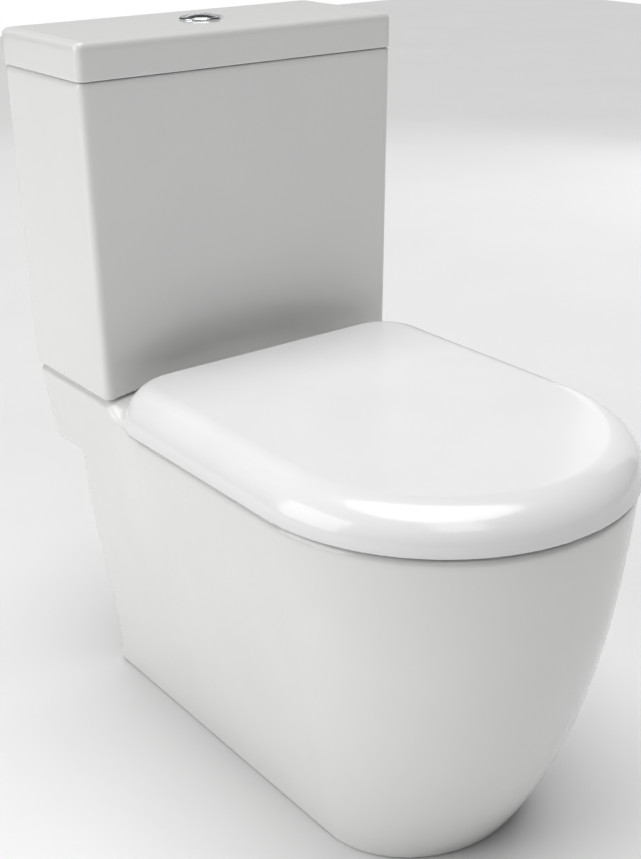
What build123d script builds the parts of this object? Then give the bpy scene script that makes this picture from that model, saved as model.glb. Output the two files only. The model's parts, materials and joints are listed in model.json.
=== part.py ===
"""Close coupled toilet: a shrouded vitreous china pan, a cistern standing on it, and a soft close seat.

Drawn in millimetres with the wall plane at y = 0, the front towards -Y, the floor at z = 0 and the
middle of the toilet at x = 0. Every piece is then moved by half the depth, so that the origin is the
middle of the footprint. "Reach" is a distance from the wall.
"""

from build123d import *
import math
import os

# ---------------------------------------------------------------- driving sizes
DEPTH = 666.0  # wall to the front of the seat cover
RIM_HEIGHT = 398.0  # floor to the top of the pan's rim
PLATFORM_STEP = 13.0  # the cistern's platform stands this far above the rim
TANK_GAP = 3.0  # platform to the underside of the cistern
TANK_HEIGHT = 329.0
LID_HEIGHT = 38.5

# pan, outside
PAN_WIDTH = 396.0
PLATFORM_WIDTH = 376.0
FOOT_WIDTH = 238.0
PAN_REACH = 663.0
FOOT_REACH = 553.0
LEDGE_DROP = 93.0  # platform to the underside of the ledge behind the skirt
LEDGE_SETBACK = 62.0  # wall to the back of the skirt, just under the ledge
FOOT_SETBACK = 11.0  # wall to the back of the skirt, at the floor
CHINA = 12.0  # wall of the skirt
DECK = 13.0  # thickness of the rim's top
TOP_EDGE = 8.0
BULGE_START = 110.0  # reach where the ledge's side starts to widen into the bowl's
BULGE_END = 270.0
STEP_BACK = 148.0  # reach where the platform starts to fall to the rim
STEP_FRONT = 186.0  # reach where it has met the rim
SIDES_END = 464.0  # reach where the straight sides turn into the rounded front

# pan, inside
BOWL_HALF = 132.0
BOWL_BACK = 288.0
BOWL_FRONT = 617.0
LIP_DEPTH = 34.0
LIP_WALL = 5.0
CHANNEL = 14.0  # width of the flushing channel behind the lip
BOWL_WALL = 10.0
SUMP_HEIGHT = 120.0
TRAP_BORE = 38.0
TRAP_WALL = 10.0
TRAP_BEND = 50.0
TRAP_DIP = 105.0
TRAP_CREST = 270.0
OUTLET_HEIGHT = 185.0
SPIGOT_END = 20.0
SPIGOT_RADIUS = 51.0
SPIGOT_LENGTH = 60.0
FLOOR_HOLE_SPACING = 176.0
FLOOR_HOLE_REACH = 88.0
FLOOR_HOLE_RADIUS = 4.5
FLOOR_LUG = 14.0

# cistern
TANK_WIDTH_TOP = 387.0
TANK_WIDTH_BASE = 378.0
TANK_REACH_TOP = 162.5
TANK_REACH_BASE = 160.0
SCOOP = 27.0  # how far the front is hollowed in the middle of its bottom edge
SCOOP_HEIGHT = 250.0
CORNER = 8.0
TANK_WALL = 9.0
TANK_FLOOR = 12.0
LID_WALL = 10.0
LID_EDGE = 7.0
LID_SEAM = 0.6
LID_LIP = 12.0
LID_LIP_GAP = 2.0
LID_LIP_WALL = 10.0
WALL_HOLE_SPACING = 260.0
WALL_HOLE_DROP = 53.0
WALL_HOLE_RADIUS = 4.0

# fittings share one line across the cistern's floor
VALVE_REACH = 70.0
BOLT_SETBACK = 27.0  # side of the doughnut's recess to the coupling bolts
INLET_OFFSET = 130.0
BOLT_RADIUS = 4.0
BOLT_HOLE = 6.0
SHANK_RADIUS = 30.0
SHANK_BORE = 25.0
HORN_DEPTH = 19.0
HORN_SETOFF = 18.0  # flush valve's shank to the side of the recess for the doughnut washer
HORN_CLEAR = 4.0  # flush valve's shank to the bore that the flush falls through
DUCT_HEIGHT = 30.0
SPINDLE_RADIUS = 9.0
SPINDLE_BORE = 7.0
VALVE_TOP = 246.0  # cistern's underside to the top plate of the flush valve
VALVE_SETOFF = 4.0  # flush valve's shank to the outside of its cage
INLET_RADIUS = 10.48  # G 1/2 thread
INLET_LENGTH = 42.0
INLET_SHANK = 11.0
NUT_THICK = 12.0
FILL_RADIUS = 12.0
FLOAT_RADIUS = 27.0
FLOAT_HEIGHT = 52.0
FLOAT_ARM = 32.0  # lever's pivot to the float's link rod

# push buttons
BUTTON_REACH = 78.0
BUTTON_RADIUS = 18.0
BUTTON_CROWN = 3.2
BUTTON_SPLIT = 0.6
BUTTON_TRAVEL = 4.0
BARREL_WALL = 2.2
BEZEL_FLANGE = 3.0  # barrel to the edge of the bezel
BEZEL_HEIGHT = 2.4
ROD_RADIUS = 2.0
FULL_ROD = (-12.5, 87.0)
HALF_ROD = (-13.5, 70.5)

# seat
HINGE_REACH = 198.0
HINGE_RISE = 22.0  # rim to the hinge line
HINGE_OFFSET = 77.5
PIN_RADIUS = 4.0
KNUCKLE = 10.0
KNUCKLE_WIDTH = 12.0
POST_WIDTH = 15.0
POST_BASE = 23.0
DAMPER_RADIUS = 7.0
BOLT_SETOFF = 5.0  # hinge line to the seat bolt
SEAT_HOLE = 6.5
COVER_WIDTH = 400.0
HEEL_REACH = 16.0  # hinge line to the cover's back
COVER_GAP = 2.2  # rim to the cover's lower edge
COVER_HEIGHT = 43.0  # rim to the cover's crown
COVER_WALL = 4.5
COVER_CORNER = 46.0
COVER_SHOULDER = 45.0
HEEL = 20.2  # the cover's heel is round about the hinge line
RING_SETBACK = 22.0  # hinge line to the ring's back
RING_HALF = 186.0
RING_FRONT = 651.0
RING_HOLE_HALF = 116.0
RING_HOLE_BACK = 286.0
RING_HOLE_FRONT = 600.0
RING_GAP = 5.0  # rim to the underside of the seat ring
RING_THICK = 20.0
BUMPER_RADIUS = 7.0

RUN = 0.05  # radial clearance of a running fit
REST = 0.3  # gap between pieces of different bodies that only rest against each other

PLATFORM = RIM_HEIGHT + PLATFORM_STEP
LEDGE = PLATFORM - LEDGE_DROP
TANK_BASE = PLATFORM + TANK_GAP
TANK_TOP = TANK_BASE + TANK_HEIGHT
LID_TOP = TANK_TOP + LID_HEIGHT
TANK_INSIDE = TANK_BASE + TANK_FLOOR
DECK_UNDER = RIM_HEIGHT - DECK
HINGE_HEIGHT = RIM_HEIGHT + HINGE_RISE
HORN_RADIUS = SHANK_RADIUS + HORN_SETOFF
HORN_BORE = SHANK_RADIUS + HORN_CLEAR
DUCT_HALF = HORN_BORE
VALVE_RADIUS = SHANK_RADIUS + VALVE_SETOFF
BOLT_OFFSET = HORN_RADIUS + BOLT_SETBACK
BARREL_INNER = BUTTON_RADIUS + REST
BARREL_OUTER = BARREL_INNER + BARREL_WALL
BEZEL_RADIUS = BARREL_OUTER + BEZEL_FLANGE
COVER_BACK = HINGE_REACH - HEEL_REACH
RING_BACK = HINGE_REACH + RING_SETBACK
SEAT_BOLT_REACH = HINGE_REACH + BOLT_SETOFF


# ---------------------------------------------------------------- small helpers
def cylinder(radius, low, high, x=0.0, reach=VALVE_REACH):
    return Pos(x, -reach, low) * extrude(Circle(radius), high - low)


def tube(outer, inner, low, high, x=0.0, reach=VALVE_REACH):
    return cylinder(outer, low, high, x, reach) - cylinder(inner, low - 1, high + 1, x, reach)


def block(x0, x1, reach0, reach1, z0, z1):
    """A box between two places."""
    middle = ((x0 + x1) / 2, -(reach0 + reach1) / 2, (z0 + z1) / 2)
    return Pos(*middle) * Box(x1 - x0, reach1 - reach0, z1 - z0)


def hex_nut(across_flats, bore, low, high, x=0.0, reach=VALVE_REACH):
    outline = RegularPolygon(across_flats / 2, 6, major_radius=False)
    return Pos(x, -reach, low) * extrude(outline - Circle(bore), high - low)


def bar_x(radius, x0, x1, reach=HINGE_REACH, z=HINGE_HEIGHT):
    """A round bar that runs along X."""
    plane = Plane(origin=(x0, -reach, z), x_dir=(0, 1, 0), z_dir=(1, 0, 0))
    return extrude(plane * Circle(radius), x1 - x0)


def side_profile(points_to_wire, x0, x1):
    """A closed outline drawn in reach and height, made solid from x0 to x1."""
    plane = Plane(origin=(x0, 0, 0), x_dir=(0, -1, 0), z_dir=(-1, 0, 0))
    return extrude(plane * make_face(points_to_wire), -(x1 - x0))


def pair(shape):
    """A piece and its mirror image, as two solids of one group."""
    return Compound(children=[shape, mirror(shape, Plane.YZ)])


def group(shapes):
    return Compound(children=list(shapes))


def with_both(shape):
    """A right-hand feature and its mirror image, joined into one shape for adding or cutting."""
    return shape + mirror(shape, Plane.YZ)


def wing_nut(bore, low, x, reach, radius=9.0, span=13.0):
    """A boss with two wings that stand up for the fingers; low is its clamping face's far side."""
    height = 9.0
    boss = cylinder(radius, low, low + height, x, reach)
    wings = block(x - 2, x + 2, reach - span, reach + span, low - 5, low + height - 3)
    clearance = cylinder(radius - 1, low - 6, low, x, reach)
    return boss + (wings - clearance) - cylinder(bore, low - 8, low + height + 1, x, reach)


# ---------------------------------------------------------------- pan
def pan_sizes(z):
    """Half width at the bowl and at the back, front reach, and where the front curve starts."""
    inward = max(0.0, 1 - z / RIM_HEIGHT)
    half = (FOOT_WIDTH + (PAN_WIDTH - FOOT_WIDTH) * (1 - inward)) / 2
    front = FOOT_REACH + (PAN_REACH - FOOT_REACH) * (1 - inward**2.4)
    curve = SIDES_END - 16 * inward
    back_half = min(half, (FOOT_WIDTH + (PLATFORM_WIDTH - FOOT_WIDTH) * z / PLATFORM) / 2)
    return half, back_half, front, curve


def pan_section(z, wall=0.0, back=0.0):
    """A level slice through the pan: straight at the back, elliptical at the front."""
    half, back_half, front, curve = pan_sizes(z)
    half, back_half, front = half - wall, back_half - wall, front - wall
    pull = (BULGE_END - BULGE_START) * 0.45
    outline = []
    for side in (-1, 1):
        start = (side * back_half, -BULGE_START)
        end = (side * half, -BULGE_END)
        outline.append(Line((side * back_half, -back), start))
        outline.append(Bezier(start, (start[0], start[1] - pull), (end[0], end[1] + pull), end))
        outline.append(Line(end, (side * half, -curve)))
    outline.append(EllipticalCenterArc((0, -curve), half, front - curve, 180, arc_size=180))
    outline.append(Line((-back_half, -back), (back_half, -back)))
    return Pos(0, 0, z) * make_face(Wire(outline))


def above_the_deck():
    """All that lies over the platform, the step down from it, and the rim."""
    pull = (STEP_FRONT - STEP_BACK) / 2
    far = PAN_REACH + 50
    top = PLATFORM + 50
    outline = [
        Line((-20, PLATFORM), (STEP_BACK, PLATFORM)),
        Bezier((STEP_BACK, PLATFORM), (STEP_BACK + pull, PLATFORM), (STEP_FRONT - pull, RIM_HEIGHT),
               (STEP_FRONT, RIM_HEIGHT)),
        Line((STEP_FRONT, RIM_HEIGHT), (far, RIM_HEIGHT)),
        Line((far, RIM_HEIGHT), (far, top)),
        Line((far, top), (-20, top)),
        Line((-20, top), (-20, PLATFORM)),
    ]
    return side_profile(Wire(outline), -PAN_WIDTH, PAN_WIDTH)


def behind_the_skirt():
    """The open space under the ledge, behind the skirt's shaped back edge."""
    edge = Spline(
        (LEDGE_SETBACK, LEDGE), (LEDGE_SETBACK - 18, LEDGE * 0.77), (LEDGE_SETBACK - 24, LEDGE * 0.5),
        (LEDGE_SETBACK - 27, LEDGE * 0.3), (FOOT_SETBACK, 0),
    )
    outline = [
        edge,
        Line((FOOT_SETBACK, 0), (FOOT_SETBACK - 3, -20)),
        Line((FOOT_SETBACK - 3, -20), (-30, -20)),
        Line((-30, -20), (-30, LEDGE)),
        Line((-30, LEDGE), (LEDGE_SETBACK, LEDGE)),
    ]
    return side_profile(Wire(outline), -PAN_WIDTH, PAN_WIDTH)


def oval(z, half, back, front):
    return Pos(0, -(back + front) / 2, z) * Ellipse(half, (front - back) / 2)


def bowl_ovals(wall=0.0):
    """Slices of the bowl below its flushing lip, wider by the wall for its outside."""
    lip = RIM_HEIGHT - LIP_DEPTH
    wide = BOWL_HALF + CHANNEL
    back, front = BOWL_BACK - CHANNEL, BOWL_FRONT + CHANNEL
    slices = [
        (lip, wide, back, front),
        (lip - 60, wide * 0.88, back + 14, front - 22),
        (lip - 134, wide * 0.65, back + 32, front - 84),
        (lip - 190, wide * 0.44, back + 40, front - 165),
        (SUMP_HEIGHT, TRAP_BORE + 2, 312, 312 + 2 * TRAP_BORE + 4),
    ]
    return [oval(z - wall * (z == SUMP_HEIGHT), h + wall, b - wall, f + wall) for z, h, b, f in slices]


def trap(radius):
    """The water seal: down out of the sump, up over the crest, and out level at the back."""
    start = 352 + 20
    route = [
        (0, -start, SUMP_HEIGHT + 90),
        (0, -(start - 32), TRAP_DIP),
        (0, -(start - 104), TRAP_DIP),
        (0, -(start - 167), TRAP_CREST),
        (0, -(start - 254), OUTLET_HEIGHT),
        (0, -(SPIGOT_END + 10), OUTLET_HEIGHT),
    ]
    path = FilletPolyline(*route, radius=TRAP_BEND)
    first = Plane(origin=path @ 0, z_dir=path % 0)
    return sweep(first * Circle(radius), path=path)


def bar_y(radius, reach0, reach1, x=0.0, z=OUTLET_HEIGHT):
    """A round bar that runs along Y."""
    plane = Plane(origin=(x, -reach0, z), x_dir=(1, 0, 0), z_dir=(0, -1, 0))
    return extrude(plane * Circle(radius), reach1 - reach0)


def levels_to(top, start=0.0):
    """Heights of the slices from the foot up to a level."""
    return [start] + [top * share for share in (0.19, 0.41, 0.64, 0.88, 1)]


HORN_FLOOR = PLATFORM - HORN_DEPTH
DUCT_TOP = HORN_FLOOR - CHINA
DUCT_LOW = DUCT_TOP - DUCT_HEIGHT
CHANNEL_BACK = BOWL_BACK - CHANNEL
CHANNEL_FRONT = BOWL_FRONT + CHANNEL


def pan_skin():
    """Skirt, ledge and rim: one thick skin round a hollow that is open below and behind."""
    middle = LEDGE + (PLATFORM - LEDGE) / 2
    body = loft([pan_section(z) for z in levels_to(LEDGE) + [middle, PLATFORM + 5]])
    body -= behind_the_skirt()
    body -= above_the_deck()
    outer_edges = [
        e for e in body.edges()
        if e.bounding_box().min.Z > RIM_HEIGHT - 1 and e.bounding_box().max.Y < -1
    ]
    body = fillet(outer_edges, TOP_EDGE)

    hollow = loft([pan_section(z, CHINA, -30) for z in levels_to(LEDGE, -5) + [DECK_UNDER]])
    ledge_wall = block(-PAN_WIDTH, PAN_WIDTH, -40, CHINA, LEDGE, PLATFORM)
    body -= hollow - ledge_wall
    under_platform = Pos(0, 0, DECK_UNDER - 1) * extrude(
        Pos(0, 0, -DECK_UNDER) * pan_section(DECK_UNDER, CHINA, CHINA), PLATFORM_STEP + 1
    )
    body -= under_platform & block(-PAN_WIDTH, PAN_WIDTH, CHINA, STEP_BACK - 8, 0, PLATFORM)
    lug = block(FLOOR_HOLE_SPACING / 2 - 18, FOOT_WIDTH / 2 - 4, FLOOR_HOLE_REACH - 18,
                FLOOR_HOLE_REACH + 18, 0, FLOOR_LUG)
    body += with_both(lug)

    top = PLATFORM + 1
    low = DECK_UNDER - 5
    body -= extrude(oval(low, BOWL_HALF, BOWL_BACK, BOWL_FRONT), top - low)
    body -= cylinder(HORN_RADIUS, HORN_FLOOR, top)
    body -= with_both(cylinder(BOLT_HOLE, low, top, BOLT_OFFSET))
    body -= cylinder(INLET_SHANK + 12, low, top, INLET_OFFSET)
    body -= with_both(cylinder(SEAT_HOLE, low, RIM_HEIGHT + 2, HINGE_OFFSET, SEAT_BOLT_REACH))
    floor_hole = cylinder(FLOOR_HOLE_RADIUS, -1, FLOOR_LUG + 1, FLOOR_HOLE_SPACING / 2, FLOOR_HOLE_REACH)
    return body - with_both(floor_hole)


def skirt_and_rim():
    """The skin in two: the walls up to the rim's underside, and the rim with the platform."""
    skin = pan_skin()
    walls = block(-PAN_WIDTH, PAN_WIDTH, -50, PAN_REACH + 50, -10, DECK_UNDER)
    return skin & walls, skin - walls


def bowl_outside():
    half = BOWL_HALF + CHANNEL + BOWL_WALL
    brim = oval(DECK_UNDER, half, CHANNEL_BACK - BOWL_WALL, CHANNEL_FRONT + BOWL_WALL)
    return loft([brim] + bowl_ovals(BOWL_WALL))


def duct_inside():
    """Way of the flush: down the horn, and forward into the channel behind the lip."""
    way = cylinder(HORN_BORE, DUCT_LOW, HORN_FLOOR + 1)
    return way + block(-DUCT_HALF, DUCT_HALF, VALVE_REACH, CHANNEL_BACK + 6, DUCT_LOW, DUCT_TOP)


def pan_bowl():
    """Bowl from the rim's underside to the sump, wide enough at its top for the flushing channel."""
    lip = RIM_HEIGHT - LIP_DEPTH
    body = bowl_outside() - loft(bowl_ovals())
    body -= extrude(oval(lip - 1, BOWL_HALF + CHANNEL, CHANNEL_BACK, CHANNEL_FRONT), LIP_DEPTH)
    return body - trap(TRAP_BORE) - duct_inside()


def pan_lip():
    """Lip that hangs from the rim and turns the flush round the bowl."""
    low = RIM_HEIGHT - LIP_DEPTH
    outside = oval(low, BOWL_HALF + LIP_WALL, BOWL_BACK - LIP_WALL, BOWL_FRONT + LIP_WALL)
    return extrude(outside - oval(low, BOWL_HALF, BOWL_BACK, BOWL_FRONT), LIP_DEPTH - DECK)


def pan_trap():
    """Water seal and outlet, down to the spigot behind the skirt."""
    body = trap(TRAP_BORE + TRAP_WALL) + bar_y(SPIGOT_RADIUS, SPIGOT_END, SPIGOT_END + SPIGOT_LENGTH)
    body -= trap(TRAP_BORE)
    body -= bar_y(TRAP_BORE + 3, SPIGOT_END - 1, SPIGOT_END + 32)
    return body - bowl_outside()


def pan_flush_duct():
    horn = cylinder(HORN_RADIUS + CHINA, DUCT_LOW - CHINA, PLATFORM - DECK)
    wide = DUCT_HALF + CHINA
    duct = block(-wide, wide, VALVE_REACH, CHANNEL_BACK + 4, DUCT_LOW - CHINA, DECK_UNDER)
    body = horn + duct - cylinder(HORN_RADIUS, HORN_FLOOR, PLATFORM) - duct_inside()
    body -= block(-wide - 20, wide + 20, -5, CHINA, 0, PLATFORM)
    front_deck = block(-wide - 20, wide + 20, STEP_BACK - 8, CHANNEL_BACK, DECK_UNDER, PLATFORM)
    return body - bowl_outside() - front_deck


# ---------------------------------------------------------------- cistern and its lid
def tank_section(z, wall=0.0):
    """A level slice through the cistern: flat back, tapered sides, front hollowed towards the base."""
    rise = (z - TANK_BASE) / TANK_HEIGHT
    half = (TANK_WIDTH_BASE + (TANK_WIDTH_TOP - TANK_WIDTH_BASE) * rise) / 2 - wall
    front = TANK_REACH_BASE + (TANK_REACH_TOP - TANK_REACH_BASE) * rise - wall
    low = max(0.0, 1 - (z - TANK_BASE) / SCOOP_HEIGHT)
    scoop = SCOOP * low**1.6 + 0.02
    flat = half - CORNER
    outline = [
        Line((-half, -wall), (half, -wall)),
        Line((half, -wall), (half, -(front - CORNER))),
        RadiusArc((half, -(front - CORNER)), (flat, -front), CORNER),
        Bezier((flat, -front), (flat / 3, -(front - scoop * 4 / 3)), (-flat / 3, -(front - scoop * 4 / 3)),
               (-flat, -front)),
        RadiusArc((-flat, -front), (-half, -(front - CORNER)), CORNER),
        Line((-half, -(front - CORNER)), (-half, -wall)),
    ]
    return Pos(0, 0, z) * make_face(Wire(outline))


def tank():
    steps = [0, 0.15, 0.3, 0.5, 0.76, 1]
    body = loft([tank_section(TANK_BASE + TANK_HEIGHT * s) for s in steps])
    inside = [TANK_INSIDE + (TANK_HEIGHT - TANK_FLOOR) * s for s in steps]
    body -= loft([tank_section(z, TANK_WALL) for z in inside])
    low, high = TANK_BASE - 1, TANK_INSIDE + 1
    body -= cylinder(SHANK_RADIUS + 1, low, high)
    body -= with_both(cylinder(BOLT_HOLE, low, high, BOLT_OFFSET))
    body -= cylinder(INLET_RADIUS + 1.5, low, high, INLET_OFFSET)
    wall_hole = bar_y(WALL_HOLE_RADIUS, -1, TANK_WALL + 1, WALL_HOLE_SPACING / 2, TANK_TOP - WALL_HOLE_DROP)
    body -= with_both(wall_hole)
    return body


def lid():
    """A china cap whose inner lip drops into the mouth of the cistern."""
    half, front = TANK_WIDTH_TOP / 2 + 0.5, TANK_REACH_TOP + 0.5
    base = TANK_TOP + LID_SEAM
    body = block(-half, half, 0, front, base, LID_TOP)
    body = fillet(body.edges().filter_by(Axis.Z).group_by(Axis.Y)[0], CORNER)
    body = fillet(body.edges().group_by(Axis.Z)[-1], LID_EDGE)
    lip_half = TANK_WIDTH_TOP / 2 - TANK_WALL - LID_LIP_GAP
    lip_back, lip_front = TANK_WALL + LID_LIP_GAP, TANK_REACH_TOP - TANK_WALL - LID_LIP_GAP
    lip = block(-lip_half, lip_half, lip_back, lip_front, base - LID_LIP, base + 1)
    body += fillet(lip.edges().filter_by(Axis.Z), 4)
    wall = LID_LIP_WALL
    body -= block(wall - lip_half, lip_half - wall, lip_back + wall, lip_front - wall,
                  base - LID_LIP - 1, LID_TOP - LID_WALL)
    return body - cylinder(BUTTON_RADIUS + REST + BARREL_WALL + REST, base, LID_TOP + 1, 0, BUTTON_REACH)


# ---------------------------------------------------------------- push buttons in the lid
LID_UNDER = LID_TOP - LID_WALL
BUTTON_LOW = LID_UNDER - 6
BUTTON_TOP = LID_TOP + BEZEL_HEIGHT


def button_bezel():
    flange = cylinder(BEZEL_RADIUS, LID_TOP, LID_TOP + BEZEL_HEIGHT, 0, BUTTON_REACH)
    flange = fillet(flange.edges().group_by(Axis.Z)[-1], BEZEL_HEIGHT * 0.8)
    barrel = cylinder(BARREL_OUTER, LID_UNDER - 16, LID_TOP + 0.5, 0, BUTTON_REACH)
    return flange + barrel - cylinder(BARREL_INNER, LID_UNDER - 17, LID_TOP + 9, 0, BUTTON_REACH)


def button_nut():
    top = LID_UNDER
    return hex_nut(2 * (BARREL_OUTER + 6), BARREL_OUTER, top - 8, top, 0, BUTTON_REACH)


def half_button(front):
    """One half of the round push: a low dome, cut along a line that waves from side to side."""
    wave = BUTTON_RADIUS * 0.3
    side = -1 if front else 1
    gap = BUTTON_SPLIT / 2 * side
    far = side * (BUTTON_RADIUS + 5)
    width = BUTTON_RADIUS + 4
    middle = -BUTTON_REACH
    split = Bezier((-width, middle + gap), (-width / 3, middle + gap + wave * 2),
                   (width / 3, middle + gap - wave * 2), (width, middle + gap))
    outline = [
        split,
        Line((width, middle + gap), (width, middle + far)),
        Line((width, middle + far), (-width, middle + far)),
        Line((-width, middle + far), (-width, middle + gap)),
    ]
    cutter = Pos(0, 0, BUTTON_LOW) * extrude(make_face(Wire(outline)), BUTTON_TOP + BUTTON_CROWN - BUTTON_LOW)
    ball = (BUTTON_RADIUS**2 + BUTTON_CROWN**2) / (2 * BUTTON_CROWN)
    dome = Pos(0, middle, BUTTON_TOP + BUTTON_CROWN - ball) * Sphere(ball)
    return (cylinder(BUTTON_RADIUS, BUTTON_LOW, BUTTON_TOP + BUTTON_CROWN, 0, BUTTON_REACH) & dome) & cutter


# ---------------------------------------------------------------- flush valve
VALVE_PLATE = TANK_BASE + VALVE_TOP
LEVER_HEIGHT = VALVE_PLATE + 8
LEVER_THICK = 5.0
LEVER_TOP = LEVER_HEIGHT + LEVER_THICK / 2
SEAT_FACE = TANK_INSIDE + 12


def flush_valve_body():
    body = cylinder(SHANK_RADIUS, TANK_BASE - 16, TANK_INSIDE + 4)
    body += cylinder(SHANK_RADIUS + 12, TANK_INSIDE + 3, SEAT_FACE - 4)
    body += cylinder(SHANK_RADIUS, SEAT_FACE - 5, SEAT_FACE)
    body -= cylinder(SHANK_BORE, TANK_BASE - 17, SEAT_FACE + 1)
    cage_low = SEAT_FACE - 5
    cage = tube(VALVE_RADIUS + 3, VALVE_RADIUS, cage_low, VALVE_PLATE)
    window = block(-60, 60, VALVE_REACH - 12, VALVE_REACH + 12, SEAT_FACE + 1, SEAT_FACE + 60)
    turned = Pos(0, -VALVE_REACH, 0) * Rot(0, 0, 90) * Pos(0, VALVE_REACH, 0) * window
    cage -= window
    cage -= turned
    body += cage
    body += cylinder(VALVE_RADIUS + 3, VALVE_PLATE - 4, VALVE_PLATE)
    body += tube(SPINDLE_RADIUS + 3, SPINDLE_RADIUS, VALVE_PLATE - 24, VALVE_PLATE)
    # yoke for the lever, and a guide for the half flush plunger
    pivot = FULL_ROD[1]
    for reach in (pivot - 6.5, pivot + 4.5):
        body += block(-4, 4, reach, reach + 2, VALVE_PLATE - 1, LEVER_HEIGHT + 3)
    body += cylinder(4, VALVE_PLATE - 12, VALVE_PLATE + 4, *HALF_ROD)
    body -= cylinder(SPINDLE_RADIUS + RUN, VALVE_PLATE - 30, VALVE_PLATE + 1)
    body -= cylinder(ROD_RADIUS + RUN, VALVE_PLATE - 30, VALVE_PLATE + 5, *HALF_ROD)
    body -= bar_y(1.5, pivot - 8, pivot + 8, 0, LEVER_HEIGHT)
    return body


def flush_spindle():
    """Overflow pipe that doubles as the lifting spindle, with an arm for the lever to lift."""
    low = SEAT_FACE + REST
    top = LEVER_TOP + REST + 4
    lever_end = -FULL_ROD[0]
    pipe = cylinder(SPINDLE_RADIUS, low, top)
    pipe += cylinder(SPINDLE_RADIUS + 8, low + 4, low + 8)
    pipe += block(SPINDLE_RADIUS - 2, lever_end + 4, VALVE_REACH + 2, FULL_ROD[1] + 3, LEVER_TOP + REST, top)
    pipe += block(0, SPINDLE_RADIUS, VALVE_REACH, VALVE_REACH + 6, LEVER_TOP + REST, top)
    return pipe - cylinder(SPINDLE_BORE, low - 1, top + 1)


def flush_seal():
    low = SEAT_FACE + REST
    return tube(SHANK_RADIUS, SPINDLE_RADIUS, low, low + 4)


def rocker_lever():
    """See-saw on the valve's top plate: one end under the full flush rod, the other lifts the spindle."""
    end = -FULL_ROD[0] + 3
    reach = FULL_ROD[1]
    beam = block(-end, end, reach - 3, reach + 3, LEVER_HEIGHT - LEVER_THICK / 2, LEVER_TOP)
    beam = fillet(beam.edges().filter_by(Axis.Y), 2)
    return beam - bar_y(1.5 + RUN, reach - 8, reach + 8, 0, LEVER_HEIGHT)


def rocker_pin():
    return bar_y(1.5, FULL_ROD[1] - 6.5, FULL_ROD[1] + 6.5, 0, LEVER_HEIGHT)


def half_plunger():
    low = VALVE_PLATE - 18
    head = VALVE_PLATE + 4 + BUTTON_TRAVEL + REST
    shaft = cylinder(ROD_RADIUS, low, head, *HALF_ROD)
    return shaft + cylinder(3.4, head, head + 2.5, *HALF_ROD)


def push_rod(place, low):
    return cylinder(ROD_RADIUS, low, BUTTON_LOW, *place)


# ---------------------------------------------------------------- fill valve
FLOAT_LOW = TANK_BASE + 120
FILL_TOP = TANK_BASE + 236


def fill_valve_body():
    body = cylinder(FILL_RADIUS, TANK_INSIDE + 6, FILL_TOP, INLET_OFFSET)
    body += cylinder(INLET_SHANK, TANK_BASE - NUT_THICK, TANK_INSIDE + 4, INLET_OFFSET)
    body += cylinder(INLET_RADIUS, TANK_BASE - INLET_LENGTH, TANK_BASE - NUT_THICK, INLET_OFFSET)
    body += cylinder(18, TANK_INSIDE + 3, TANK_INSIDE + 8, INLET_OFFSET)
    body -= cylinder(6, TANK_BASE - INLET_LENGTH - 1, FILL_TOP - 12, INLET_OFFSET)
    return body


def fill_valve_head():
    """Cap over the fill valve, with the ears that carry the float's lever."""
    body = cylinder(19, FILL_TOP, FILL_TOP + 16, INLET_OFFSET)
    body = fillet(body.edges().group_by(Axis.Z)[-1], 4)
    for x in (INLET_OFFSET - 6, INLET_OFFSET + 4):
        body += block(x, x + 2, VALVE_REACH + 15, VALVE_REACH + 27, FILL_TOP, FILL_TOP + 9)
    return body - bar_x(1.5, INLET_OFFSET - 8, INLET_OFFSET + 8, VALVE_REACH + 23, FILL_TOP + 4)


def float_cup():
    body = tube(FLOAT_RADIUS, FILL_RADIUS + RUN, FLOAT_LOW, FLOAT_LOW + FLOAT_HEIGHT, INLET_OFFSET)
    body -= tube(FLOAT_RADIUS - 2.5, FILL_RADIUS + 3, FLOAT_LOW - 1, FLOAT_LOW + FLOAT_HEIGHT - 3, INLET_OFFSET)
    return body


def float_link():
    """Rod that stands on an arm of the float and lifts the lever's end."""
    reach = VALVE_REACH + 23 + FLOAT_ARM
    arm = block(INLET_OFFSET - 3, INLET_OFFSET + 3, VALVE_REACH + FLOAT_RADIUS, reach + 3,
                FLOAT_LOW + FLOAT_HEIGHT - 5, FLOAT_LOW + FLOAT_HEIGHT)
    return arm + cylinder(1.5, FLOAT_LOW + FLOAT_HEIGHT - 1, FILL_TOP + 2 - REST, INLET_OFFSET, reach)


def float_lever():
    reach = VALVE_REACH + 23
    beam = block(INLET_OFFSET - 3.7, INLET_OFFSET + 3.7, reach - 3, reach + FLOAT_ARM + 4,
                 FILL_TOP + 2, FILL_TOP + 6)
    return beam - bar_x(1.5 + RUN, INLET_OFFSET - 8, INLET_OFFSET + 8, reach, FILL_TOP + 4)


def float_lever_pin():
    return bar_x(1.5, INLET_OFFSET - 7, INLET_OFFSET + 7, VALVE_REACH + 23, FILL_TOP + 4)


# ---------------------------------------------------------------- joints between pan and cistern
def coupling_bolt():
    """Bolt with its head inside the cistern, through both china floors."""
    head = TANK_INSIDE + 3
    shank = cylinder(BOLT_RADIUS, PLATFORM - 44, head + 1, BOLT_OFFSET)
    return shank + cylinder(8, head, head + 4, BOLT_OFFSET)


def support_pads():
    """Soft pads that keep the two china pieces apart."""
    spots = [(-165, 25), (165, 25), (-165, 125), (165, 125), (-75, 118), (75, 118)]
    return group(cylinder(7, PLATFORM, TANK_BASE, x, reach) for x, reach in spots)


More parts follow.
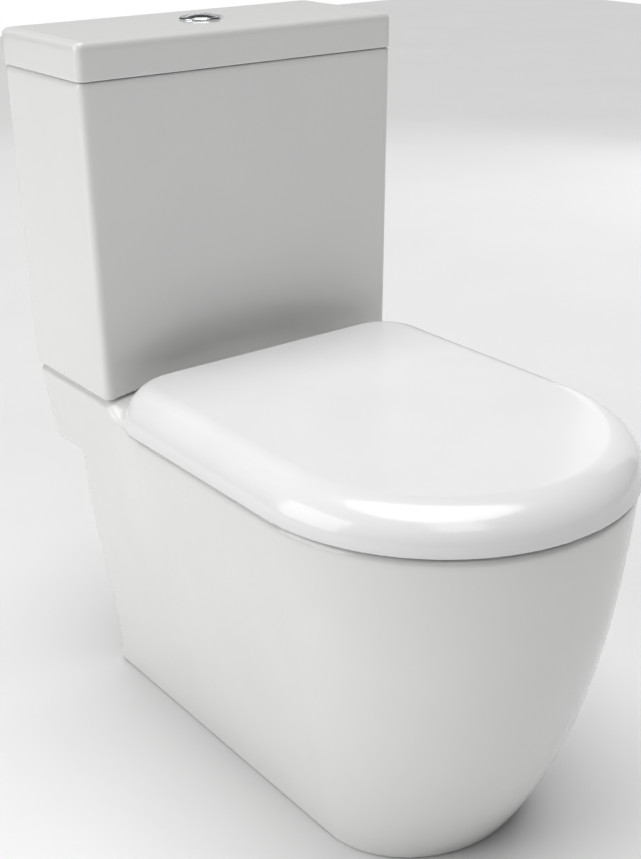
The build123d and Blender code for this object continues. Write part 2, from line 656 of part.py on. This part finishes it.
# ---------------------------------------------------------------- seat
def seat_outline(z, half, back, front, curve, corner):
    """Slice of seat or cover: straight back with round corners, elliptical front."""
    outline = [
        Line((half - corner, -back), (corner - half, -back)),
        RadiusArc((corner - half, -back), (-half, -(back + corner)), -corner),
        Line((-half, -(back + corner)), (-half, -curve)),
        EllipticalCenterArc((0, -curve), half, front - curve, 180, arc_size=180),
        Line((half, -curve), (half, -(back + corner))),
        RadiusArc((half, -(back + corner)), (half - corner, -back), -corner),
    ]
    return Pos(0, 0, z) * make_face(Wire(outline))


def cover_slices(wall):
    """The cover's shoulder is a quarter oval, wider than it is high, that starts low on its side."""
    low = RIM_HEIGHT + COVER_GAP
    top = RIM_HEIGHT + COVER_HEIGHT - wall
    straight = 4.0
    high = top - low - straight
    slices = []
    for turn in (-10, 0, 25, 48, 66, 80, 90):
        if turn < 0:
            z, inset = low - wall * 0.5, 0.0
        else:
            z = low + straight + high * math.sin(math.radians(turn))
            inset = COVER_SHOULDER * (1 - math.cos(math.radians(turn))) * 0.86
        half = COVER_WIDTH / 2 - wall - inset
        back = COVER_BACK + wall + inset * 0.18
        front = DEPTH - wall - inset
        corner = COVER_CORNER - wall - inset * 0.3
        slices.append(seat_outline(z, half, back, front, SIDES_END, corner))
    return slices


def seat_cover():
    low = RIM_HEIGHT + COVER_GAP
    body = loft(cover_slices(0.0)) - loft(cover_slices(COVER_WALL))
    body -= block(-300, 300, 0, 900, low - 30, low)
    # knuckles on the hinge line, webbed up to the inside of the shell
    inner = HINGE_OFFSET - POST_WIDTH / 2 - 1
    top = RIM_HEIGHT + COVER_HEIGHT - COVER_WALL + 1
    knuckle = bar_x(KNUCKLE, inner - KNUCKLE_WIDTH, inner)
    knuckle += block(inner - KNUCKLE_WIDTH, inner, HINGE_REACH - 8, HINGE_REACH + 8, HINGE_HEIGHT, top)
    # the heel clears the deck as it turns, and is notched round the posts
    behind = block(-300, 300, 0, HINGE_REACH, low - 30, HINGE_HEIGHT)
    body -= behind - bar_x(HEEL, -301, 301)
    side = POST_BASE / 2 + 3
    body -= with_both(block(HINGE_OFFSET - side, HINGE_OFFSET + side, 0, HINGE_REACH + 2,
                            low - 30, HINGE_HEIGHT + KNUCKLE + 4))
    body += with_both(knuckle)
    return body - with_both(bar_x(PIN_RADIUS + RUN, inner - 30, inner + 30))


def seat_ring():
    low = RIM_HEIGHT + RING_GAP
    outline = seat_outline(low, RING_HALF, RING_BACK, RING_FRONT, SIDES_END, COVER_CORNER - 12)
    body = extrude(outline, RING_THICK)
    body -= extrude(oval(low - 1, RING_HOLE_HALF, RING_HOLE_BACK, RING_HOLE_FRONT), RING_THICK + 2)
    body = fillet(body.edges().group_by(Axis.Z)[-1], 8)
    body = fillet(body.edges().group_by(Axis.Z)[0], 2)
    outer = HINGE_OFFSET + POST_WIDTH / 2 + 1
    arm = bar_x(KNUCKLE, outer, outer + KNUCKLE_WIDTH)
    arm += block(outer, outer + KNUCKLE_WIDTH, HINGE_REACH, RING_BACK + 10, HINGE_HEIGHT - 8, HINGE_HEIGHT + 2)
    body += with_both(arm)
    return body - with_both(bar_x(PIN_RADIUS + RUN, outer - 30, outer + 30))


def seat_bumpers():
    low, high = RIM_HEIGHT + REST, RIM_HEIGHT + RING_GAP
    spots = [(-150, 330), (150, 330), (-125, 545), (125, 545)]
    return group(cylinder(BUMPER_RADIUS, low, high, x, reach) for x, reach in spots)


def cover_bumpers():
    low = RIM_HEIGHT + RING_GAP + RING_THICK + REST
    high = RIM_HEIGHT + COVER_HEIGHT - COVER_WALL
    spots = [(-138, 400), (138, 400), (-62, 600), (62, 600)]
    return [cylinder(BUMPER_RADIUS, low, high, x, reach) for x, reach in spots]


BASE_PAD = 1.2


def hinge_post():
    x, side = HINGE_OFFSET, POST_BASE / 2
    low = RIM_HEIGHT + BASE_PAD
    base = block(x - side, x + side, HINGE_REACH - 12, RING_BACK - 2, low, low + 9)
    base = fillet(base.edges().filter_by(Axis.Z), 5)
    wide = POST_WIDTH / 2
    neck = block(x - wide, x + wide, HINGE_REACH - 8, HINGE_REACH + 8, low + 2, HINGE_HEIGHT)
    post = base + neck + bar_x(KNUCKLE, x - wide, x + wide)
    post -= bar_x(DAMPER_RADIUS, x - 40, x + 40)
    return post - cylinder(BOLT_RADIUS, low - 1, low + 7, x, SEAT_BOLT_REACH)


def hinge_damper():
    """Barrel inside the post that slows the fall, bored for the pin."""
    x, wide = HINGE_OFFSET, POST_WIDTH / 2
    return bar_x(DAMPER_RADIUS, x - wide, x + wide) - bar_x(PIN_RADIUS, x - wide - 1, x + wide + 1)


def hinge_pin():
    reach_out = POST_WIDTH / 2 + 1 + KNUCKLE_WIDTH
    return bar_x(PIN_RADIUS, HINGE_OFFSET - reach_out, HINGE_OFFSET + reach_out)


def hinge_base_pad():
    x, side = HINGE_OFFSET, POST_BASE / 2
    pad = block(x - side, x + side, HINGE_REACH - 12, RING_BACK - 2, RIM_HEIGHT, RIM_HEIGHT + BASE_PAD)
    pad = fillet(pad.edges().filter_by(Axis.Z), 5)
    return pad - cylinder(BOLT_RADIUS, RIM_HEIGHT - 1, RIM_HEIGHT + 3, x, SEAT_BOLT_REACH)


# ---------------------------------------------------------------- all the pieces
def pieces():
    seat_x, seat_reach = HINGE_OFFSET, SEAT_BOLT_REACH
    under = PLATFORM - DECK
    skirt, rim = skirt_and_rim()
    return {
        "pan_skirt": skirt,
        "pan_rim": rim,
        "pan_lip": pan_lip(),
        "pan_bowl": pan_bowl(),
        "pan_trap": pan_trap(),
        "pan_flush_duct": pan_flush_duct(),
        "cistern_tank": tank(),
        "cistern_lid": lid(),
        "button_bezel": button_bezel(),
        "button_nut": button_nut(),
        "full_flush_button": half_button(True),
        "half_flush_button": half_button(False),
        "full_flush_rod": push_rod(FULL_ROD, LEVER_TOP + REST),
        "half_flush_rod": push_rod(HALF_ROD, VALVE_PLATE + 4 + BUTTON_TRAVEL + 2.5 + 2 * REST),
        "half_flush_plunger": half_plunger(),
        "flush_valve_body": flush_valve_body(),
        "flush_valve_washer": tube(SHANK_RADIUS + 12, SHANK_RADIUS, TANK_INSIDE, TANK_INSIDE + 3),
        "flush_valve_backnut": hex_nut(2 * SHANK_RADIUS + 8, SHANK_RADIUS,
                                       TANK_BASE - NUT_THICK, TANK_BASE),
        "doughnut_washer": tube(HORN_RADIUS - REST, SHANK_RADIUS + 11, PLATFORM - HORN_DEPTH, TANK_BASE),
        "flush_spindle": flush_spindle(),
        "flush_seal": flush_seal(),
        "rocker_lever": rocker_lever(),
        "rocker_pin": rocker_pin(),
        "fill_valve_body": fill_valve_body(),
        "fill_valve_head": fill_valve_head(),
        "fill_valve_washer": tube(18, INLET_SHANK, TANK_INSIDE, TANK_INSIDE + 3, INLET_OFFSET),
        "fill_valve_backnut": hex_nut(30, INLET_SHANK, TANK_BASE - NUT_THICK, TANK_BASE, INLET_OFFSET),
        "float_cup": float_cup(),
        "float_link": float_link(),
        "float_lever": float_lever(),
        "float_lever_pin": float_lever_pin(),
        "coupling_bolts": pair(coupling_bolt()),
        "coupling_head_washers": pair(tube(14, BOLT_RADIUS, TANK_INSIDE, TANK_INSIDE + 3, BOLT_OFFSET)),
        "coupling_plate_washers": pair(tube(14, BOLT_RADIUS, under - 3, under, BOLT_OFFSET)),
        "coupling_wing_nuts": pair(wing_nut(BOLT_RADIUS, under - 12, BOLT_OFFSET, VALVE_REACH)),
        "tank_support_pads": support_pads(),
        "hinge_posts": pair(hinge_post()),
        "hinge_base_pads": pair(hinge_base_pad()),
        "hinge_dampers": pair(hinge_damper()),
        "hinge_pins": pair(hinge_pin()),
        "hinge_bolts": pair(cylinder(BOLT_RADIUS, DECK_UNDER - 24, RIM_HEIGHT + BASE_PAD + 7, seat_x, seat_reach)),
        "hinge_bolt_washers": pair(tube(11, BOLT_RADIUS, DECK_UNDER - 3, DECK_UNDER, seat_x, seat_reach)),
        "hinge_wing_nuts": pair(wing_nut(BOLT_RADIUS, DECK_UNDER - 12, seat_x, seat_reach, 7.5, 12)),
        "seat_ring": seat_ring(),
        "seat_bumpers": seat_bumpers(),
        "seat_cover": seat_cover(),
        "cover_bumpers": group(cover_bumpers()),
    }


os.makedirs("parts", exist_ok=True)
for name, shape in pieces().items():
    placed = [Pos(0, DEPTH / 2, 0) * solid for solid in shape.solids()]
    export_step(placed[0] if len(placed) == 1 else Compound(children=placed), f"parts/{name}.step")
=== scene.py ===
"""Close coupled toilet: the looks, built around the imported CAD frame. Metres, +Z up, the wall is at +Y."""
import bmesh
import bpy
import json
import math
from mathutils import Matrix, Vector


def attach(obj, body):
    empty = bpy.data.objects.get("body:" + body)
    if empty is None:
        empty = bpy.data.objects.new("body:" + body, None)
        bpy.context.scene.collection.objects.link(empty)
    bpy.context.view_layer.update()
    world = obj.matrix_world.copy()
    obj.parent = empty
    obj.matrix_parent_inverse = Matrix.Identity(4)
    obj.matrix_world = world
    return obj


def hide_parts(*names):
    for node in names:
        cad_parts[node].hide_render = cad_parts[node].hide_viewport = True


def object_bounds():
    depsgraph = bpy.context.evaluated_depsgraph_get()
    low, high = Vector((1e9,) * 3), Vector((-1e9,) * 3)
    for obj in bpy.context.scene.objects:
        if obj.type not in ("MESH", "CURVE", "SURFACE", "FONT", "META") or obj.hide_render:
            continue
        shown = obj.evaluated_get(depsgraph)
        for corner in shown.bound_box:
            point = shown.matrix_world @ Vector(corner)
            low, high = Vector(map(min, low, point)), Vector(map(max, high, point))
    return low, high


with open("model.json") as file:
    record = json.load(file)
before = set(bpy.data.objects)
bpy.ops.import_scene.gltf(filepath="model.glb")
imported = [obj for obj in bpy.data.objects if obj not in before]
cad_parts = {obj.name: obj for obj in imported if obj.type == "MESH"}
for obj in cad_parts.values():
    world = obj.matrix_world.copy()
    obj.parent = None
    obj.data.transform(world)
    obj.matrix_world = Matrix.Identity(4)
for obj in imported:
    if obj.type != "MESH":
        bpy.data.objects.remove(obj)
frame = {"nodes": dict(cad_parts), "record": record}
cad_low, cad_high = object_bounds()
nodes = frame["nodes"]
MM = 0.001

# ------------------------------------------------------------------ vitreous china
# Pan, cistern and lid are slip-cast clay fired under one thick coat of opaque white glaze.
# The glaze is glass: mirror-smooth, slightly uneven like orange peel, and it rounds every edge.
CHINA_WHITE = "#EDEDEB"
CHINA_POOLED = "#EBEBEA"  # where the glaze runs thicker it looks faintly greyer
GLAZE_DRIFT = 140 * MM  # width of a patch of thicker glaze
GLAZE_PEEL = 22 * MM  # width of one ripple of the orange peel


def linear(colour):
    """sRGB hex to the linear colour that shaders take."""
    parts = [int(colour[i:i + 2], 16) / 255 for i in (1, 3, 5)]
    return [c / 12.92 if c <= 0.04045 else ((c + 0.055) / 1.055) ** 2.4 for c in parts] + [1.0]


def add(material, kind, settings=None, links=None):
    """Adds one node, sets its sockets or properties, and links its inputs."""
    tree = material.node_tree
    node = tree.nodes.new(kind)
    for key, value in (settings or {}).items():
        if key in node.inputs:
            node.inputs[key].default_value = value
        else:
            setattr(node, key, value)
    for key, source in (links or {}).items():
        tree.links.new(source, node.inputs[key])
    return node


def new_material(name, **surface):
    """An empty procedural material: its shader, and the object's own coordinates in metres."""
    material = bpy.data.materials.new(name)
    material.use_nodes = True
    material.node_tree.nodes.clear()
    place = add(material, "ShaderNodeTexCoord").outputs["Object"]
    shader = add(material, "ShaderNodeBsdfPrincipled", surface)
    output = add(material, "ShaderNodeOutputMaterial")
    material.node_tree.links.new(shader.outputs[0], output.inputs[0])
    return material, place, shader


def blotches(material, place, width, first, second, detail=2.0):
    """Two close colours that drift into each other over patches of a real width."""
    noise = add(material, "ShaderNodeTexNoise", {"Scale": 1 / width, "Detail": detail}, {"Vector": place})
    ramp = add(material, "ShaderNodeValToRGB", None, {"Fac": noise.outputs["Fac"]})
    ramp.color_ramp.elements[0].position = 0.35
    ramp.color_ramp.elements[0].color = linear(first)
    ramp.color_ramp.elements[1].position = 0.65
    ramp.color_ramp.elements[1].color = linear(second)
    return ramp.outputs["Color"]


def uneven(material, place, width, depth, detail=2.0):
    """A bump of that depth in metres, from noise of that width."""
    noise = add(material, "ShaderNodeTexNoise", {"Scale": 1 / width, "Detail": detail}, {"Vector": place})
    bump = add(material, "ShaderNodeBump", {"Strength": 1.0, "Distance": depth}, {"Height": noise.outputs["Fac"]})
    return bump.outputs["Normal"]


def spread(material, place, width, low, high):
    """A roughness that drifts between two values."""
    noise = add(material, "ShaderNodeTexNoise", {"Scale": 1 / width, "Detail": 3.0}, {"Vector": place})
    span = add(material, "ShaderNodeMapRange", {"To Min": low, "To Max": high}, {"Value": noise.outputs["Fac"]})
    return span.outputs["Result"]


def wire(material, shader, **sources):
    names = {"colour": "Base Color", "normal": "Normal", "roughness": "Roughness"}
    for key, source in sources.items():
        material.node_tree.links.new(source, shader.inputs[names[key]])


china, place, shader = new_material("vitreous_china_white_glaze", **{"IOR": 1.52, "Coat Weight": 0.35,
                                                                      "Coat Roughness": 0.03, "Coat IOR": 1.5})
wire(china, shader, colour=blotches(china, place, GLAZE_DRIFT, CHINA_WHITE, CHINA_POOLED),
     normal=uneven(china, place, GLAZE_PEEL, 0.012 * MM),
     roughness=spread(china, place, GLAZE_DRIFT, 0.10, 0.16))


def glazed_copy(sources, name, voxel, rounds, material):
    """The surface of one or more CAD pieces as one, with its edges rounded as glaze or moulding rounds them."""
    whole = bmesh.new()
    for node in sources:
        whole.from_mesh(nodes[node].data)
    mesh = bpy.data.meshes.new(name)
    whole.to_mesh(mesh)
    whole.free()
    piece = bpy.data.objects.new(name, mesh)
    bpy.context.scene.collection.objects.link(piece)
    mesh.materials.clear()
    mesh.materials.append(material)
    grid = piece.modifiers.new("grid", "REMESH")
    grid.mode = "VOXEL"
    grid.voxel_size = voxel
    grid.use_smooth_shade = True
    melt = piece.modifiers.new("melt", "SMOOTH")
    melt.factor = 0.5
    melt.iterations = rounds
    bpy.context.view_layer.update()
    final = bpy.data.meshes.new_from_object(piece.evaluated_get(bpy.context.evaluated_depsgraph_get()))
    piece.modifiers.clear()
    piece.data = final
    final.materials.clear()
    final.materials.append(material)
    for polygon in final.polygons:
        polygon.material_index = 0
    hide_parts(*sources)
    return piece


# ------------------------------------------------------------------ pan
# One casting: tapered skirt, flushing rim, bowl and trap. It stands on the floor by the skirt's edge.
# The frame holds it as six bodies that meet face to face, and one glaze covers them all.
PAN_GRID = 2.4 * MM
PAN_PARTS = ("pan_skirt", "pan_rim", "pan_lip", "pan_bowl", "pan_trap", "pan_flush_duct")
pan = glazed_copy(PAN_PARTS, "pan_glazed", PAN_GRID, 8, china)
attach(pan, "root")

# ------------------------------------------------------------------ cistern
# A tapered box with a hollowed front, open at the top, bolted down on the pan through soft washers.
CISTERN_GRID = 2.0 * MM
cistern = glazed_copy(("cistern_tank",), "cistern_glazed", CISTERN_GRID, 6, china)
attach(cistern, "root")

# ------------------------------------------------------------------ cistern lid
# A flat china cap with softly rounded top edges. It lies loose on the cistern.
LID_GRID = 1.5 * MM
cap = glazed_copy(("cistern_lid",), "cistern_lid_glazed", LID_GRID, 6, china)
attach(cap, "lid")

# ------------------------------------------------------------------ seat ring and cover
# Both are pressed from urea thermoset: dense, hard and as white as the china, with a moulded gloss.
MOULD_PATCH = 90 * MM
duroplast, place, shader = new_material("urea_thermoset_gloss_white", **{"IOR": 1.55, "Coat Weight": 0.2,
                                                                         "Coat Roughness": 0.05})
wire(duroplast, shader, colour=blotches(duroplast, place, MOULD_PATCH, "#EFEFEF", "#EDEDEE"),
     normal=uneven(duroplast, place, 30 * MM, 0.008 * MM),
     roughness=spread(duroplast, place, MOULD_PATCH, 0.15, 0.21))
RING_GRID, COVER_GRID = 1.8 * MM, 1.5 * MM
ring = glazed_copy(("seat_ring",), "seat_ring_moulded", RING_GRID, 4, duroplast)
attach(ring, "seat")
cover = glazed_copy(("seat_cover",), "seat_cover_moulded", COVER_GRID, 8, duroplast)
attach(cover, "cover")

# ------------------------------------------------------------------ chrome: push buttons, bezel, hinge posts
# ABS plated with bright chrome, polished in the mould. Fine wiping marks show only as a faint haze.
chrome, place, shader = new_material("bright_chrome_plate", **{"Metallic": 1.0, "Roughness": 0.05})
wire(chrome, shader, colour=blotches(chrome, place, 12 * MM, "#D9DADC", "#D2D3D6"),
     roughness=spread(chrome, place, 6 * MM, 0.03, 0.08))
BUTTON_GRID, POST_GRID = 0.5 * MM, 0.6 * MM
for node, body in (("full_flush_button", "full_push"), ("half_flush_button", "half_push"), ("button_bezel", "lid")):
    part = glazed_copy((node,), node + "_plated", BUTTON_GRID, 2, chrome)
    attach(part, body)
posts = glazed_copy(("hinge_posts",), "hinge_posts_plated", POST_GRID, 3, chrome)
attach(posts, "root")

# ------------------------------------------------------------------ moulded fittings inside
# Valves, nuts and rods are acetal and nylon; washers are black rubber; bolts and pins are stainless steel.
FINISHES = {
    "white_acetal": ("acetal_moulded_white", "#E4E4DE", "#DAD9D2", 0.36, 0.0),
    "grey_acetal": ("acetal_moulded_grey", "#9AA0A6", "#8C9299", 0.38, 0.0),
    "rubber_seals": ("epdm_rubber_black", "#202020", "#161616", 0.62, 0.0),
    "white_bumpers": ("soft_elastomer_white", "#DCDCD6", "#D2D2CB", 0.55, 0.0),
    "stainless": ("stainless_turned", "#B9BABC", "#A9AAAD", 0.28, 1.0),
    "nylon_nuts": ("nylon_natural", "#EAE6D8", "#DFDACB", 0.42, 0.0),
}
fittings = {}
for slot, (name, first, second, rough, metal) in FINISHES.items():
    material, place, shader = new_material(name, Metallic=metal)
    wire(material, shader, colour=blotches(material, place, 14 * MM, first, second, 4.0),
         normal=uneven(material, place, 0.8 * MM, 0.01 * MM),
         roughness=spread(material, place, 8 * MM, rough - 0.06, rough + 0.06))
    fittings[slot] = material
slot_of = {row["node"]: row["material_slot"] for row in frame["record"]["subparts"]}
outside = {"duroplast": duroplast, "vitreous_china": china, "chromed_abs": chrome, "chromed_hinge": chrome}
finishes = {**outside, **fittings}
for name, node in nodes.items():
    material = finishes[slot_of[name]]
    node.data.materials.clear()
    node.data.materials.append(material)

# ------------------------------------------------------------------ floor and light
# A seamless pale floor under a soft overhead sun, which keeps the floor even and lights the pan from below.
# Soft boxes light the left side, the cistern's front and the right edge, and one behind shows in the lid's glaze.
floor_mesh = bpy.data.meshes.new("studio_floor")
FLOOR_REACH = 6.0  # middle to edge, out of the picture
corners = [(x * FLOOR_REACH, y * FLOOR_REACH, 0) for x, y in ((-1, -1), (1, -1), (1, 1), (-1, 1))]
floor_mesh.from_pydata(corners, [], [(0, 1, 2, 3)])
floor = bpy.data.objects.new("studio_floor", floor_mesh)
bpy.context.scene.collection.objects.link(floor)
paper, place, shader = new_material("matt_paper_floor", Roughness=0.9)
wire(paper, shader, colour=blotches(paper, place, 0.4, "#E9E9E9", "#E7E7E7"))
floor_mesh.materials.append(paper)

# the backdrop shows white, while the room that lights the object is dimmer, so that the form reads
ROOM_LIGHT = 0.09
world = bpy.data.worlds.new("studio")
world.use_nodes = True
sky = world.node_tree
backdrop = sky.nodes["Background"]
backdrop.inputs["Color"].default_value = linear("#FFFFFF")
seen = sky.nodes.new("ShaderNodeLightPath")
level = sky.nodes.new("ShaderNodeMapRange")
level.inputs["To Min"].default_value = ROOM_LIGHT
level.inputs["To Max"].default_value = 1.0
sky.links.new(seen.outputs["Is Camera Ray"], level.inputs["Value"])
sky.links.new(level.outputs["Result"], backdrop.inputs["Strength"])
bpy.context.scene.world = world
bpy.context.scene.view_settings.view_transform = "Standard"


def soft_box(name, place, aim, size, power):
    """A rectangular area light that looks at a point."""
    lamp = bpy.data.lights.new(name, "AREA")
    lamp.shape = "RECTANGLE"
    lamp.size, lamp.size_y = size
    lamp.energy = power
    holder = bpy.data.objects.new(name, lamp)
    holder.location = place
    holder.rotation_euler = (Vector(aim) - Vector(place)).to_track_quat("-Z", "Y").to_euler()
    bpy.context.scene.collection.objects.link(holder)


OVERHEAD_POWER = 2.25  # watts per square metre
OVERHEAD_WIDTH = math.radians(50)  # a wide sun gives a soft shadow
overhead = bpy.data.lights.new("overcast", "SUN")
overhead.energy = OVERHEAD_POWER
overhead.angle = OVERHEAD_WIDTH
overcast_holder = bpy.data.objects.new("overcast", overhead)
overcast_holder.location = (0, 0, 3)
bpy.context.scene.collection.objects.link(overcast_holder)
soft_box("soft_box_left", (-3.2, 0.9, 1.5), (0, 0, 0.4), (2.4, 2.4), 48)
soft_box("soft_box_high_front", (-0.7, -1.6, 2.3), (0, 0.25, 0.65), (1.0, 1.0), 7)
soft_box("soft_box_behind", (2.0, 2.9, 1.6), (0, 0.25, 0.9), (3.0, 1.6), 7)
soft_box("soft_box_back_right", (2.9, 1.1, 1.3), (0, -0.1, 0.35), (1.8, 2.2), 9)

# ------------------------------------------------------------------ camera
# Standing in front and to the left, looking down at the seat.
CAMERA_FROM_WALL = 1389.7 * MM
camera_place = Vector((-822.9 * MM, cad_high[1] - CAMERA_FROM_WALL, 961.0 * MM))
turn, tilt, roll = math.radians(-37.3), math.radians(23.24), math.radians(-0.46)
ahead = Vector((-math.sin(turn) * math.cos(tilt), math.cos(turn) * math.cos(tilt), -math.sin(tilt)))
right = ahead.cross(Vector((0, 0, 1))).normalized()
above = right.cross(ahead)
camera_right = right * math.cos(roll) + above * math.sin(roll)
camera_up = above * math.cos(roll) - right * math.sin(roll)
lens = bpy.data.cameras.new("camera")
lens.sensor_width = 36
lens.lens = 58.53
lens.shift_x = -0.0182
lens.shift_y = 0.0048
lens.clip_start = 0.05
camera = bpy.data.objects.new("camera", lens)
turned = Matrix((camera_right, camera_up, -ahead)).transposed().to_4x4()
camera.matrix_world = Matrix.Translation(camera_place) @ turned
bpy.context.scene.collection.objects.link(camera)
bpy.context.scene.camera = camera
